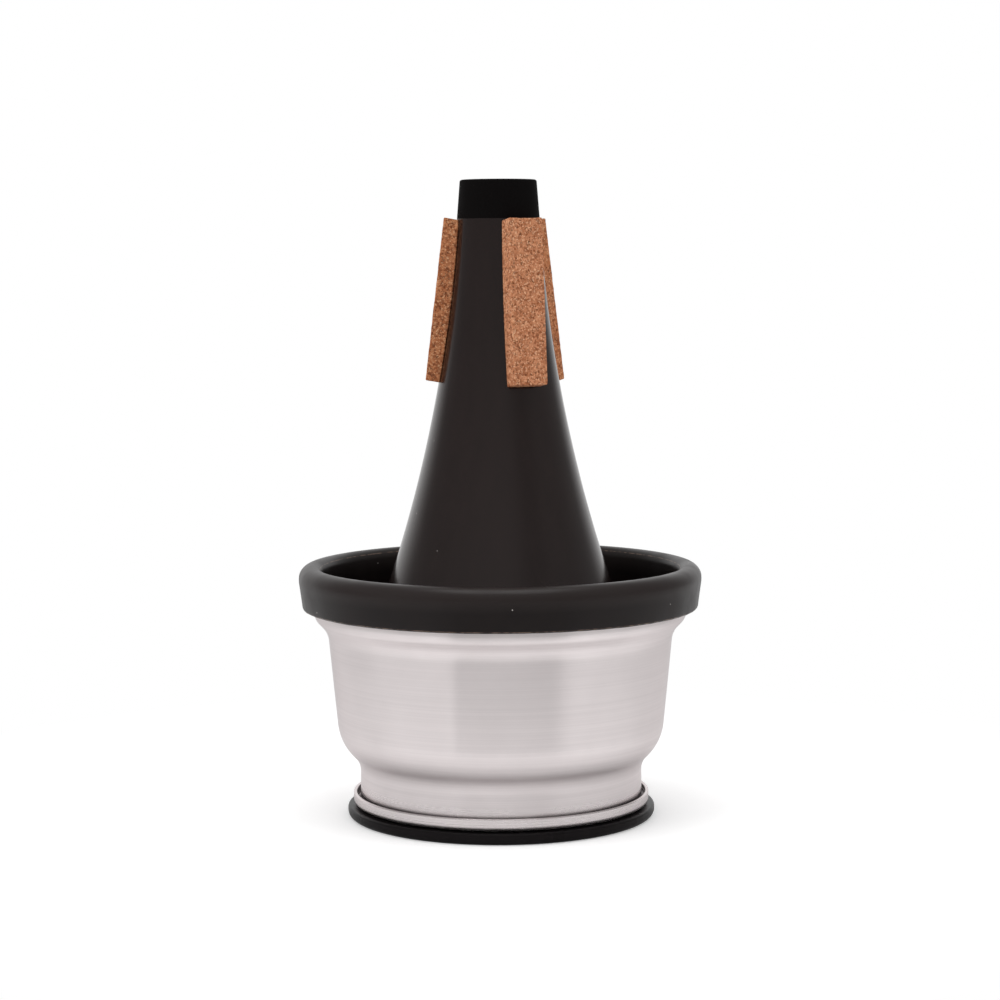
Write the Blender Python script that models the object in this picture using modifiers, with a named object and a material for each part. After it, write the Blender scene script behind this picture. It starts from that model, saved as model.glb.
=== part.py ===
"""Cup mute for a trumpet: a hollow cone that corks hold in the bell, and a spun cup that slides on it.

Metres, +Z up. The mute stands on its wide end with its axis on Z, its small end up and its front
towards -Y. Every turned piece is a line of (radius, height) points carried once round the axis.
"""

import math

import bmesh
import bpy
import numpy as np
from mathutils import Vector

MM = 0.001

# Fits between pieces
SEAT_GAP = 0.3 * MM           # between two pieces that touch
SLIDE_CLEARANCE = 0.3 * MM    # between the grip ring's bore and the land it slides on

# End cap under the cone
FLANGE_RADIUS = 41.4 * MM
FLANGE_THICKNESS = 3.0 * MM
FLANGE_TOP_ROUND = 0.7 * MM
FLANGE_FOOT_ROUND = 1.5 * MM
CAP_FLOOR = 2.0 * MM          # what the recess leaves of the flange's thickness
FOOT_RING_WIDTH = 6.5 * MM    # the flat ring that the mute stands on
SPIGOT_HEIGHT = 6.0 * MM
SPIGOT_WALL = 2.0 * MM

# Cone
CONE_SHOULDER_HEIGHT = 160.0 * MM    # where the tip sleeve begins
CONE_WALL = 1.5 * MM
TIP_RADIUS = 11.0 * MM
TIP_ANGLE = math.radians(3.44)       # half angle of the flare at the small end
LAND_HEIGHT = 49.3 * MM              # where the flare runs into the straight land
TIP_STEP = 2.0 * MM                  # how far the cone's neck is set in under the sleeve

# Tip sleeve
SLEEVE_LENGTH = 10.3 * MM
SLEEVE_TOP_RADIUS = 10.2 * MM
SLEEVE_ROUND = 0.6 * MM
SLEEVE_OVERHANG = 0.6 * MM    # how far the sleeve stands past the cone's end

# Cork strips, each a bar cut by hand to its own size, with a flat outer face. The angle runs from the
# front to +X, the turn is the strip's own across its face, the gap is below the cone's shoulder, and
# the face lies that far from the axis, level with the shoulder.
CORK_FACE_LEAN = math.radians(6.85)      # how far the outer face leans in towards the top
CORK_CUT_LEAN = math.radians(10.0)       # how far the cut ends rise towards the outer face
CORKS = {
    "front": {
        "angle": math.radians(27.1), "turn": math.radians(1.7), "gap": 0.6 * MM, "length": 43.4 * MM,
        "top_width": 9.9 * MM, "foot_width": 9.8 * MM, "face": 14.5 * MM,
    },
    "left": {
        "angle": math.radians(-93.0), "turn": 0.0, "gap": 0.3 * MM, "length": 43.0 * MM,
        "top_width": 8.5 * MM, "foot_width": 8.5 * MM, "face": 14.3 * MM,
    },
    "rear": {
        "angle": math.radians(137.2), "turn": math.radians(2.7), "gap": 0.5 * MM, "length": 43.4 * MM,
        "top_width": 10.0 * MM, "foot_width": 10.1 * MM, "face": 14.5 * MM,
    },
}

# Cup: a sheet of one thickness, sized on its outer face, with heights from the cup's own foot
SHEET = 0.9 * MM
NECK_RADIUS = 37.95 * MM
NECK_HEIGHT = 11.5 * MM       # corner of the neck and the shoulder
NECK_ROUND = 6.3 * MM
SHOULDER_REACH = 5.5 * MM
SHOULDER_RISE = 5.3 * MM
SHOULDER_ROUND = 13.2 * MM
WALL_HEIGHT = 30.0 * MM
WALL_TAPER = 0.097            # growth of the radius with height
STEP_REACH = 3.65 * MM
STEP_RISE = 3.8 * MM
STEP_HOLLOW_ROUND = 6.9 * MM
STEP_CREST_ROUND = 3.6 * MM
COLLAR_HEIGHT = 10.75 * MM
FOOT_BEND_RADIUS = 0.5 * MM   # inside radius of the foot's turned-up lip
LIP_HEIGHT = 1.9 * MM         # straight stretch of the lip above its bend

# Rubber bumper on the cup's edge
BUMPER_SIDE = 3.7 * MM        # rubber outside the collar, at its fullest
BUMPER_FOOT_SIDE = 2.7 * MM   # rubber outside the collar, at the lower edge
BUMPER_INNER_LEG = 1.0 * MM
BUMPER_CROWN = 3.2 * MM       # rubber above the sheet's edge
BUMPER_OUTER_DROP = 8.3 * MM    # from the sheet's edge down to the outer leg's lower edge
BUMPER_INNER_DROP = 7.0 * MM
BUMPER_FULL_DROP = 0.95 * MM    # from the sheet's edge down to where the side is fullest
BUMPER_OUTER_ROUND = 3.3 * MM
BUMPER_INNER_ROUND = 2.6 * MM
BUMPER_SIDE_ROUND = 8.0 * MM
BUMPER_EDGE_ROUND = 0.7 * MM

# Linings inside the cup
LINING_THICKNESS = 1.0 * MM
LINING_LIFT = 3.0 * MM        # from the neck corner up to the lining's lower edge
GRIP_THICKNESS = 1.65 * MM
GRIP_LENGTH = 7.0 * MM

# Fineness of the faceted solids
SIDES = 48
FLARE_STEPS = 9
BEND_STEPS = 6
ROUND_STEPS = 3
CORK_STEPS_ALONG = 6
CORK_STEPS_ACROSS = 5
MERGE = 0.01 * MM
SHARP_ANGLE = math.radians(35.0)


def clear_scene() -> None:
    """Remove every object of the open scene."""
    for obj in list(bpy.data.objects):
        bpy.data.objects.remove(obj, do_unlink=True)


def new_collection(name: str) -> bpy.types.Collection:
    """Make a collection under the scene's own."""
    collection = bpy.data.collections.new(name)
    bpy.context.scene.collection.children.link(collection)
    return collection


def material(name: str, colour: tuple, roughness: float, metallic: float = 0.0) -> bpy.types.Material:
    """Make a plain Principled BSDF material."""
    made = bpy.data.materials.new(name)
    made.use_nodes = True
    shader = made.node_tree.nodes["Principled BSDF"]
    shader.inputs["Base Color"].default_value = (*colour, 1.0)
    shader.inputs["Roughness"].default_value = roughness
    shader.inputs["Metallic"].default_value = metallic
    return made


def rounded(corners: list, radii: list, steps: int = ROUND_STEPS) -> list:
    """Return the line through the corners with an arc of the given radius at each inner corner.

    A radius of zero keeps its corner sharp.
    """
    line = [corners[0]]
    for before, corner, after, radius in zip(corners, corners[1:], corners[2:], radii):
        if not radius:
            line.append(corner)
            continue
        here = np.array(corner)
        back = np.array(before) - here
        ahead = np.array(after) - here
        back /= np.linalg.norm(back)
        ahead /= np.linalg.norm(ahead)
        half = math.acos(back @ ahead) / 2
        middle = (back + ahead) / np.linalg.norm(back + ahead)
        centre = here + middle * radius / math.sin(half)
        start = here + back * radius / math.tan(half) - centre
        end = here + ahead * radius / math.tan(half) - centre
        first = math.atan2(start[1], start[0])
        sweep = math.remainder(math.atan2(end[1], end[0]) - first, math.tau)
        for k in range(steps + 1):
            angle = first + sweep * k / steps
            line.append(tuple(centre + radius * np.array((math.cos(angle), math.sin(angle)))))
    line.append(corners[-1])
    return line


def offset(line: list, distance: float) -> list:
    """Return the line moved sideways by the distance, to the right of the way it runs."""
    points = np.array(line)
    runs = np.diff(points, axis=0)
    runs /= np.linalg.norm(runs, axis=1)[:, None]
    sides = np.column_stack((runs[:, 1], -runs[:, 0]))
    before = np.vstack((sides[:1], sides))
    after = np.vstack((sides, sides[-1:]))
    mitre = (before + after) / (1.0 + np.sum(before * after, axis=1))[:, None]
    return [tuple(point) for point in points + mitre * distance]


def cone_radius(height: float) -> float:
    """Radius of the flare's outer face: an arc from the tip to the land, at its set angle at the tip."""
    chord = math.hypot(land_radius() - TIP_RADIUS, CONE_SHOULDER_HEIGHT - LAND_HEIGHT)
    lean = math.atan2(land_radius() - TIP_RADIUS, CONE_SHOULDER_HEIGHT - LAND_HEIGHT)
    flare = chord / (2 * math.sin(lean - TIP_ANGLE))
    centre_height = CONE_SHOULDER_HEIGHT + flare * math.sin(TIP_ANGLE)
    centre_radius = TIP_RADIUS + flare * math.cos(TIP_ANGLE)
    return centre_radius - math.sqrt(flare ** 2 - (centre_height - height) ** 2)


def flare_line(top: float, bottom: float, steps: int) -> list:
    """Points down the flare's outer face between two heights."""
    return [(cone_radius(z), z) for z in np.linspace(top, bottom, steps + 1)]


def cup_foot() -> float:
    """Height of the cup's lowest line, where it rests on the flange."""
    return FLANGE_THICKNESS + SEAT_GAP


def bend_height() -> float:
    """Height of the foot bend's centre above the cup's foot."""
    return SHEET + FOOT_BEND_RADIUS


def land_radius() -> float:
    """Outer radius of the land that the grip ring slides on."""
    return NECK_RADIUS - SHEET - SEAT_GAP - GRIP_THICKNESS - SLIDE_CLEARANCE


def collar_radius() -> float:
    """Outer radius of the straight collar at the cup's edge."""
    return NECK_RADIUS + SHOULDER_REACH + WALL_TAPER * WALL_HEIGHT + STEP_REACH


def step_top() -> float:
    """Height above the cup's foot where the step meets the collar."""
    return NECK_HEIGHT + SHOULDER_RISE + WALL_HEIGHT + STEP_RISE


def cup_edge() -> float:
    """Height of the sheet's upper edge above the cup's foot."""
    return step_top() + COLLAR_HEIGHT


def bowl_line() -> list:
    """Outer face of the cup from its edge down to the foot bend."""
    shoulder_top = NECK_HEIGHT + SHOULDER_RISE
    wall_top = shoulder_top + WALL_HEIGHT
    corners = [
        (collar_radius(), cup_edge()),
        (collar_radius(), step_top()),
        (collar_radius() - STEP_REACH, wall_top),
        (NECK_RADIUS + SHOULDER_REACH, shoulder_top),
        (NECK_RADIUS, NECK_HEIGHT),
        (NECK_RADIUS, bend_height()),
    ]
    return rounded(corners, [STEP_CREST_ROUND, STEP_HOLLOW_ROUND, SHOULDER_ROUND, NECK_ROUND])


def foot_line() -> list:
    """The foot bend and its turned-up lip, on the face that looks at the neck."""
    centre = NECK_RADIUS + FOOT_BEND_RADIUS
    bend = [
        (centre - FOOT_BEND_RADIUS * math.cos(math.pi * k / BEND_STEPS),
         bend_height() - FOOT_BEND_RADIUS * math.sin(math.pi * k / BEND_STEPS))
        for k in range(1, BEND_STEPS + 1)
    ]
    return bend + [(centre + FOOT_BEND_RADIUS, bend_height() + LIP_HEIGHT)]


def turned(name: str, line: list, closed: bool = True, wall: float = 0.0) -> bpy.types.Object:
    """Carry a line round the axis, and give an open one its wall on the inner side."""
    count = len(line)
    edges = [(k, (k + 1) % count) for k in range(count if closed else count - 1)]
    mesh = bpy.data.meshes.new(name)
    mesh.from_pydata([(r, 0.0, z) for r, z in line], edges, [])
    obj = bpy.data.objects.new(name, mesh)
    bpy.context.scene.collection.objects.link(obj)
    screw = obj.modifiers.new("Turn", "SCREW")
    screw.axis = "Z"
    screw.angle = math.tau
    screw.steps = screw.render_steps = SIDES
    screw.use_merge_vertices = True
    screw.merge_threshold = MERGE
    if wall:
        sheet = obj.modifiers.new("Sheet", "SOLIDIFY")
        sheet.thickness = wall
        sheet.offset = -1.0
        sheet.use_even_offset = True
    return obj


def settle(obj: bpy.types.Object, finish: bpy.types.Material) -> None:
    """Turn the object's modifiers into its mesh, shade it smooth and give it its material."""
    bpy.context.view_layer.update()
    evaluated = obj.evaluated_get(bpy.context.evaluated_depsgraph_get())
    mesh = bpy.data.meshes.new_from_object(evaluated)
    mesh.name = obj.name
    mesh.shade_smooth()
    mesh.set_sharp_from_angle(angle=SHARP_ANGLE)
    mesh.materials.clear()
    mesh.materials.append(finish)
    obj.modifiers.clear()
    obj.data = mesh


def place(obj: bpy.types.Object, parent: bpy.types.Object, home: bpy.types.Collection) -> None:
    """Hang the object on its parent and move it to its collection."""
    for owner in list(obj.users_collection):
        owner.objects.unlink(obj)
    home.objects.link(obj)
    obj.parent = parent


def base_cap() -> bpy.types.Object:
    """End cap: the flange, its recessed underside and the spigot that plugs the cone."""
    spigot_outer = land_radius() - CONE_WALL - SEAT_GAP
    spigot_inner = spigot_outer - SPIGOT_WALL
    recess_radius = FLANGE_RADIUS - FLANGE_FOOT_ROUND - FOOT_RING_WIDTH
    recess_depth = FLANGE_THICKNESS - CAP_FLOOR
    spigot_top = FLANGE_THICKNESS + SPIGOT_HEIGHT
    corners = [
        (0.0, FLANGE_THICKNESS),
        (spigot_inner, FLANGE_THICKNESS),
        (spigot_inner, spigot_top),
        (spigot_outer, spigot_top),
        (spigot_outer, FLANGE_THICKNESS),
        (FLANGE_RADIUS, FLANGE_THICKNESS),
        (FLANGE_RADIUS, 0.0),
        (recess_radius, 0.0),
        (recess_radius, recess_depth),
        (0.0, recess_depth),
    ]
    radii = [0, 0, 0, 0, FLANGE_TOP_ROUND, FLANGE_FOOT_ROUND, 0, 0]
    return turned("base_cap", rounded(corners, radii), closed=False)


def cone_shell() -> bpy.types.Object:
    """Hollow cone, open at both ends: its set-in neck, the flare and the straight land."""
    neck = TIP_RADIUS - TIP_STEP
    top = CONE_SHOULDER_HEIGHT + SLEEVE_LENGTH - SLEEVE_OVERHANG
    line = [(neck, top), (neck, CONE_SHOULDER_HEIGHT)]
    line += flare_line(CONE_SHOULDER_HEIGHT, LAND_HEIGHT, FLARE_STEPS)
    line += [(land_radius(), FLANGE_THICKNESS + SEAT_GAP)]
    return turned("cone_shell", line, closed=False, wall=CONE_WALL)


def tip_sleeve() -> bpy.types.Object:
    """Soft sleeve over the cone's neck, flush with the flare and drawn in towards its open end."""
    bore = TIP_RADIUS - TIP_STEP + SEAT_GAP
    bottom = CONE_SHOULDER_HEIGHT + SEAT_GAP
    top = CONE_SHOULDER_HEIGHT + SLEEVE_LENGTH
    corners = [(bore, bottom), (bore, top), (SLEEVE_TOP_RADIUS, top), (TIP_RADIUS, bottom)]
    return turned("tip_sleeve", rounded(corners, [0, SLEEVE_ROUND]))


def cork_strip(name: str, angle: float, turn: float, gap: float, length: float, top_width: float,
               foot_width: float, face: float) -> bpy.types.Object:
    """One cork strip: a grid laid on the flare at +X, pulled out to a flat outer face, then swung round.

    The grid's rows keep one height each, and its middle line is turned across the face. Every point is
    then carried outwards along the slope of the cut ends until it meets the plane of the outer face.
    """
    shape = bmesh.new()
    bmesh.ops.create_grid(shape, x_segments=CORK_STEPS_ACROSS, y_segments=CORK_STEPS_ALONG, size=1.0)
    for vertex in shape.verts:
        down = (1.0 - vertex.co.y) / 2
        height = CONE_SHOULDER_HEIGHT - gap - length * down
        width = top_width + (foot_width - top_width) * down
        across = (vertex.co.x * width + vertex.co.y * length * math.tan(turn)) / 2
        radius = cone_radius(height) + SEAT_GAP
        vertex.co = (math.sqrt(radius ** 2 - across ** 2), across, height)
    raised = bmesh.ops.extrude_face_region(shape, geom=shape.faces[:])["geom"]
    normal = Vector((math.cos(CORK_FACE_LEAN), 0.0, math.sin(CORK_FACE_LEAN)))
    way = Vector((math.cos(CORK_CUT_LEAN), 0.0, math.sin(CORK_CUT_LEAN)))
    face_top = Vector((face, 0.0, CONE_SHOULDER_HEIGHT))
    for vertex in raised:
        if isinstance(vertex, bmesh.types.BMVert):
            vertex.co += way * ((face_top - vertex.co) @ normal) / (way @ normal)
    bmesh.ops.recalc_face_normals(shape, faces=shape.faces[:])
    mesh = bpy.data.meshes.new(name)
    shape.to_mesh(mesh)
    shape.free()
    strip = bpy.data.objects.new(name, mesh)
    strip.rotation_euler.z = angle - math.pi / 2
    bpy.context.scene.collection.objects.link(strip)
    return strip


def cup_shell() -> bpy.types.Object:
    """Spun cup: collar, step, tapering wall, shoulder, neck and the foot's turned-up lip."""
    return turned("cup_shell", bowl_line() + foot_line(), closed=False, wall=SHEET)


def rim_bumper() -> bpy.types.Object:
    """Rubber channel pushed over the cup's edge, fullest a little below its crown."""
    slot_outer = collar_radius() + SEAT_GAP
    slot_inner = collar_radius() - SHEET - SEAT_GAP
    slot_top = cup_edge() + SEAT_GAP
    crown = cup_edge() + BUMPER_CROWN
    inner_side = slot_inner - BUMPER_INNER_LEG
    outer_foot = cup_edge() - BUMPER_OUTER_DROP
    inner_foot = cup_edge() - BUMPER_INNER_DROP
    corners = [
        (slot_inner, inner_foot),
        (slot_inner, slot_top),
        (slot_outer, slot_top),
        (slot_outer, outer_foot),
        (slot_outer + BUMPER_FOOT_SIDE, outer_foot),
        (slot_outer + BUMPER_SIDE, cup_edge() - BUMPER_FULL_DROP),
        (slot_outer + BUMPER_SIDE, crown),
        (inner_side, crown),
        (inner_side, inner_foot),
    ]
    radii = [0, 0, 0, BUMPER_EDGE_ROUND, BUMPER_SIDE_ROUND, BUMPER_OUTER_ROUND, BUMPER_INNER_ROUND]
    return turned("rim_bumper", rounded(corners, radii)[::-1])


def cup_lining() -> bpy.types.Object:
    """Thin lining on the inside of the bowl, from the shoulder up to the bumper's inner leg."""
    face = offset(bowl_line(), SHEET + SEAT_GAP)
    top = cup_edge() - BUMPER_INNER_DROP - SEAT_GAP
    bottom = NECK_HEIGHT + LINING_LIFT
    radii = [r for r, _ in face[::-1]]
    heights = [z for _, z in face[::-1]]
    line = [(float(np.interp(top, heights, radii)), top)]
    line += [(r, z) for r, z in face if bottom < z < top]
    line += [(float(np.interp(bottom, heights, radii)), bottom)]
    return turned("cup_lining", line, closed=False, wall=LINING_THICKNESS)


def neck_grip() -> bpy.types.Object:
    """Felt ring in the cup's neck, which slides on the cone's land."""
    bore = land_radius() + SLIDE_CLEARANCE
    side = bore + GRIP_THICKNESS
    bottom = bend_height()
    top = bottom + GRIP_LENGTH
    return turned("neck_grip", [(bore, bottom), (bore, top), (side, top), (side, bottom)])


def main() -> None:
    """Build the mute: the cone with what is fixed to it, and the cup with what slides along."""
    clear_scene()
    parts = new_collection("Trumpet cup mute")

    black_plastic = material("Moulded black plastic", (0.018, 0.016, 0.016), 0.32)
    black_rubber = material("Black rubber", (0.014, 0.013, 0.013), 0.55)
    soft_black = material("Soft black sleeve", (0.006, 0.006, 0.006), 0.85)
    cork = material("Pressed cork", (0.42, 0.19, 0.10), 0.9)
    aluminium = material("Spun aluminium", (0.78, 0.75, 0.74), 0.33, metallic=1.0)
    black_felt = material("Black felt", (0.008, 0.008, 0.008), 0.95)

    cone = bpy.data.objects.new("cone_group", None)
    parts.objects.link(cone)
    cup = bpy.data.objects.new("cup_group", None)
    cup.location.z = cup_foot()
    cup.parent = cone
    parts.objects.link(cup)

    for obj, finish, parent in (
        (base_cap(), black_plastic, cone),
        (cone_shell(), black_plastic, cone),
        (tip_sleeve(), soft_black, cone),
        (cup_shell(), aluminium, cup),
        (rim_bumper(), black_rubber, cup),
        (cup_lining(), black_felt, cup),
        (neck_grip(), black_felt, cup),
    ):
        settle(obj, finish)
        place(obj, parent, parts)

    for side, sizes in CORKS.items():
        strip = cork_strip(f"cork_strip_{side}", **sizes)
        settle(strip, cork)
        place(strip, cone, parts)


main()
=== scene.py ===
"""Looks of a cup mute for a trumpet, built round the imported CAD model.

Metres, +Z up the mute's axis, front towards -Y. Every turned piece is a closed line of (radius, height)
points carried once round the axis; the cork strips are bars with one face on the cone and one flat.
"""

import logging
import math
from collections.abc import Sequence
from dataclasses import dataclass
from enum import Enum

import bpy
import numpy as np
from mathutils import Matrix, Vector


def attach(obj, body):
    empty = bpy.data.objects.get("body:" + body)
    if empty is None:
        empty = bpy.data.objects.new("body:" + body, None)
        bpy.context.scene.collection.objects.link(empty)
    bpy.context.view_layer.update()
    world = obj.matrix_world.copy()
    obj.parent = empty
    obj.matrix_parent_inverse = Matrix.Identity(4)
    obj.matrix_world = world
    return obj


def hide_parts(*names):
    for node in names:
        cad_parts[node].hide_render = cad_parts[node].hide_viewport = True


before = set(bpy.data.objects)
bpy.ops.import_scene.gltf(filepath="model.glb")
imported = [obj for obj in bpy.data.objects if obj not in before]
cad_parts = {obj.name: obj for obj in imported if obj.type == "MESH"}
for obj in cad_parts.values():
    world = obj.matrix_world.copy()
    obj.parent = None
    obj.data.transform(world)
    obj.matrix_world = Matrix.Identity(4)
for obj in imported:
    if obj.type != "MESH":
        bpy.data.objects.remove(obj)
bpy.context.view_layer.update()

LOG = logging.getLogger("cup_mute")

MM = 0.001
SIDES = 288            # facets round a turned piece
ARC_STEPS = 10         # facets in a rounded corner
LONGEST_EDGE = 2.0 * MM
SEAT_GAP = 0.3 * MM    # between pieces that touch, where it does not show
CONTACT = 0.005 * MM   # the same, where it would show as a line of light
SHARP_ANGLE = math.radians(40.0)
PER_METRE = 1000.0     # turns metres into millimetres


class Body(Enum):
    """The CAD body that a piece rides on."""

    CONE = "cone"
    CUP = "cup"


class Slot(Enum):
    """The record's material slots."""

    CONE = "cone_plastic"
    CAP = "cap_plastic"
    SLEEVE = "sleeve"
    CORK = "cork"
    CUP = "cup_metal"
    RIM = "rim_rubber"
    LINING = "lining"


# Lines and meshes


def rounded(corners: Sequence[tuple[float, float]], radii: Sequence[float],
            steps: int = ARC_STEPS) -> np.ndarray:
    """Carry a line through corners, with an arc in place of each inner corner that has a radius.

    The arc touches both edges: its centre is on the corner's bisector, the radius divided by the sine
    of half the corner's angle away from it.

    Args:
        corners: Points of the line, as (radius, height).
        radii: One radius for each inner corner; zero keeps the corner.
        steps: Facets in each arc.

    Returns:
        The points of the line, one to a row.
    """
    runs = [np.array(corners[:1], float)]
    for before, corner, after, radius in zip(corners, corners[1:], corners[2:], radii):
        here = np.array(corner, float)
        if not radius:
            runs.append(here[None])
            continue
        back, ahead = np.array(before) - here, np.array(after) - here
        back, ahead = back / np.linalg.norm(back), ahead / np.linalg.norm(ahead)
        half = math.acos(back @ ahead) / 2
        middle = (back + ahead) / np.linalg.norm(back + ahead)
        centre = here + middle * radius / math.sin(half)
        start = here + back * radius / math.tan(half) - centre
        end = here + ahead * radius / math.tan(half) - centre
        first = math.atan2(start[1], start[0])
        sweep = math.remainder(math.atan2(end[1], end[0]) - first, math.tau)
        angle = first + sweep * np.linspace(0.0, 1.0, steps + 1)
        runs.append(centre + radius * np.column_stack((np.cos(angle), np.sin(angle))))
    runs.append(np.array(corners[-1:], float))
    return np.vstack(runs)


def offset(line: np.ndarray, distance: float) -> np.ndarray:
    """Move a line sideways, to the right of the way it runs.

    Each point goes along the mitre of its two edges: the sum of their side vectors divided by one plus
    their dot product.

    Args:
        line: Points, one to a row.
        distance: How far the line moves.

    Returns:
        The moved points.
    """
    runs = np.diff(line, axis=0)
    runs /= np.linalg.norm(runs, axis=1)[:, None]
    sides = np.column_stack((runs[:, 1], -runs[:, 0]))
    before, after = np.vstack((sides[:1], sides)), np.vstack((sides, sides[-1:]))
    mitre = (before + after) / (1.0 + np.sum(before * after, axis=1))[:, None]
    return line + mitre * distance


def divided(line: np.ndarray, longest: float = LONGEST_EDGE) -> np.ndarray:
    """Put extra points on a line's long edges, evenly, so that none is longer than the given length.

    Args:
        line: Points, one to a row.
        longest: The longest edge that may stay.

    Returns:
        The line with its extra points.
    """
    lengths = np.linalg.norm(np.diff(line, axis=0), axis=1)
    parts = np.maximum(1, np.ceil(lengths / longest)).astype(int)
    edge = np.repeat(np.arange(len(parts)), parts)
    share = np.concatenate([np.arange(n) / n for n in parts])
    points = line[edge] + (line[edge + 1] - line[edge]) * share[:, None]
    return np.vstack((points, line[-1:]))


def sheet_outline(face: np.ndarray, thickness: float, round_end: float) -> np.ndarray:
    """Close a sheet's outline from the line of one face, with its last end rounded.

    Args:
        face: The line of one face, with the sheet on its right.
        thickness: The sheet's thickness.
        round_end: Radius of the two corners at the line's end.

    Returns:
        The closed outline, its first point not repeated.
    """
    other = offset(face, thickness)
    end = rounded([face[-2], face[-1], other[-1], other[-2]], [round_end, round_end])
    return np.vstack((face[:-1], end[1:-1], other[-2::-1]))


def mesh_object(name: str, points: np.ndarray, faces: list[np.ndarray]) -> bpy.types.Object:
    """Make an object at the origin from points and faces, shaded smooth up to the sharp angle."""
    mesh = bpy.data.meshes.new(name)
    mesh.from_pydata(points.tolist(), [], [face for block in faces for face in block.tolist()])
    mesh.update()
    mesh.shade_smooth()
    mesh.set_sharp_from_angle(angle=SHARP_ANGLE)
    obj = bpy.data.objects.new(name, mesh)
    bpy.context.scene.collection.objects.link(obj)
    return obj


def store(obj: bpy.types.Object, name: str, values: np.ndarray) -> None:
    """Keep one number for each vertex of the object's mesh as an attribute."""
    attribute = obj.data.attributes.new(name, "FLOAT", "POINT")
    attribute.data.foreach_set("value", np.ascontiguousarray(values, np.float32).ravel())


def closed_ring(outline: np.ndarray) -> np.ndarray:
    """The points that turned() carries round for a closed outline: divided, the first not repeated."""
    return divided(np.vstack((outline, outline[:1])))[:-1]


def ring_faces(rows: int, sides: int, wrap: bool) -> np.ndarray:
    """Quads between neighbouring rings of a grid whose vertex (i, j) has the number i times sides plus j.

    Args:
        rows: Number of rings.
        sides: Vertices in a ring; the ring is closed.
        wrap: Whether the last ring joins the first.

    Returns:
        Four vertex numbers to a row, wound so that a line running anticlockwise faces outwards.
    """
    ring, side = np.meshgrid(np.arange(rows if wrap else rows - 1), np.arange(sides), indexing="ij")
    after, beside = (ring + 1) % rows, (side + 1) % sides
    return np.stack((ring * sides + side, ring * sides + beside,
                     after * sides + beside, after * sides + side), axis=-1).reshape(-1, 4)


def turned(name: str, outline: np.ndarray, ripple: np.ndarray | None = None,
           poles: bool = False) -> bpy.types.Object:
    """Carry a line round Z: a point (r, z) at the angle a lies at (r cos a, r sin a, z).

    The mesh keeps along_mm, the distance along the line, for finishes that follow the turning.

    Args:
        outline: Points as (radius, height), anticlockwise with the radius to the right. Closed, its
            first point not repeated, unless it has poles.
        ripple: What is added to the radius, as (number of points, SIDES).
        poles: The line starts and ends on the axis.

    Returns:
        The object, with a closed mesh.
    """
    line = divided(outline if poles else np.vstack((outline, outline[:1])))
    ring = line[1:-1] if poles else line[:-1]
    angle = np.linspace(0.0, math.tau, SIDES, endpoint=False)
    radius = np.repeat(ring[:, :1], SIDES, axis=1)
    if ripple is not None:
        radius = radius + ripple
    points = np.stack((radius * np.cos(angle), radius * np.sin(angle),
                       np.repeat(ring[:, 1:], SIDES, axis=1)), axis=-1).reshape(-1, 3)
    faces = [ring_faces(len(ring), SIDES, wrap=not poles)]
    along = np.concatenate(([0.0], np.cumsum(np.linalg.norm(np.diff(line, axis=0), axis=1))))
    along = along[1:-1] if poles else along[:-1]
    along = np.repeat(along, SIDES)
    if poles:
        first, last = len(points), len(points) + 1
        points = np.vstack((points, [[0.0, 0.0, line[0, 1]], [0.0, 0.0, line[-1, 1]]]))
        along = np.append(along, (0.0, along[-1]))
        side = np.arange(SIDES)
        beside = (side + 1) % SIDES
        final = (len(ring) - 1) * SIDES
        faces += [np.stack((np.full(SIDES, first), beside, side), axis=-1),
                  np.stack((np.full(SIDES, last), final + side, final + beside), axis=-1)]
    obj = mesh_object(name, points, faces)
    store(obj, "along_mm", along * PER_METRE)
    return obj


def lattice_noise(points: np.ndarray, cell: float, seed: int) -> np.ndarray:
    """Smooth random numbers from -1 to 1: each corner of a cubic lattice has one, and a point gets the
    mean of its eight corners, weighted by the smooth step of its place between them.

    Args:
        points: Places, three numbers to a row.
        cell: Edge of the lattice's cubes, in the points' unit.
        seed: Chooses the numbers.

    Returns:
        One number for each point.
    """
    size = 64
    table = np.random.default_rng(seed).uniform(-1.0, 1.0, (size, size, size))
    scaled = points / cell
    base = np.floor(scaled).astype(int)
    part = scaled - base
    part = part * part * (3.0 - 2.0 * part)
    total = np.zeros(len(points))
    for corner in np.ndindex(2, 2, 2):
        weight = np.prod(np.where(corner, part, 1.0 - part), axis=1)
        total += weight * table[tuple(((base + corner) % size).T)]
    return total


def show(obj: bpy.types.Object, node: str, body: Body,
         finish: bpy.types.Material) -> bpy.types.Object:
    """Dress a finished piece, put it on its body in place of its CAD node, and report it."""
    obj.data.materials.append(finish)
    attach(obj, body.value)
    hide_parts(node)
    LOG.info("%s stands for %s: %d faces", obj.name, node, len(obj.data.polygons))
    return obj


# Finishes


def linear(tone: str) -> tuple[float, float, float, float]:
    """Turn an sRGB hex colour such as #c8a070 into linear red, green, blue and an alpha of one."""
    parts = [int(tone[k:k + 2], 16) / 255 for k in (1, 3, 5)]
    red, green, blue = (c / 12.92 if c <= 0.04045 else ((c + 0.055) / 1.055) ** 2.4 for c in parts)
    return red, green, blue, 1.0


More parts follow.
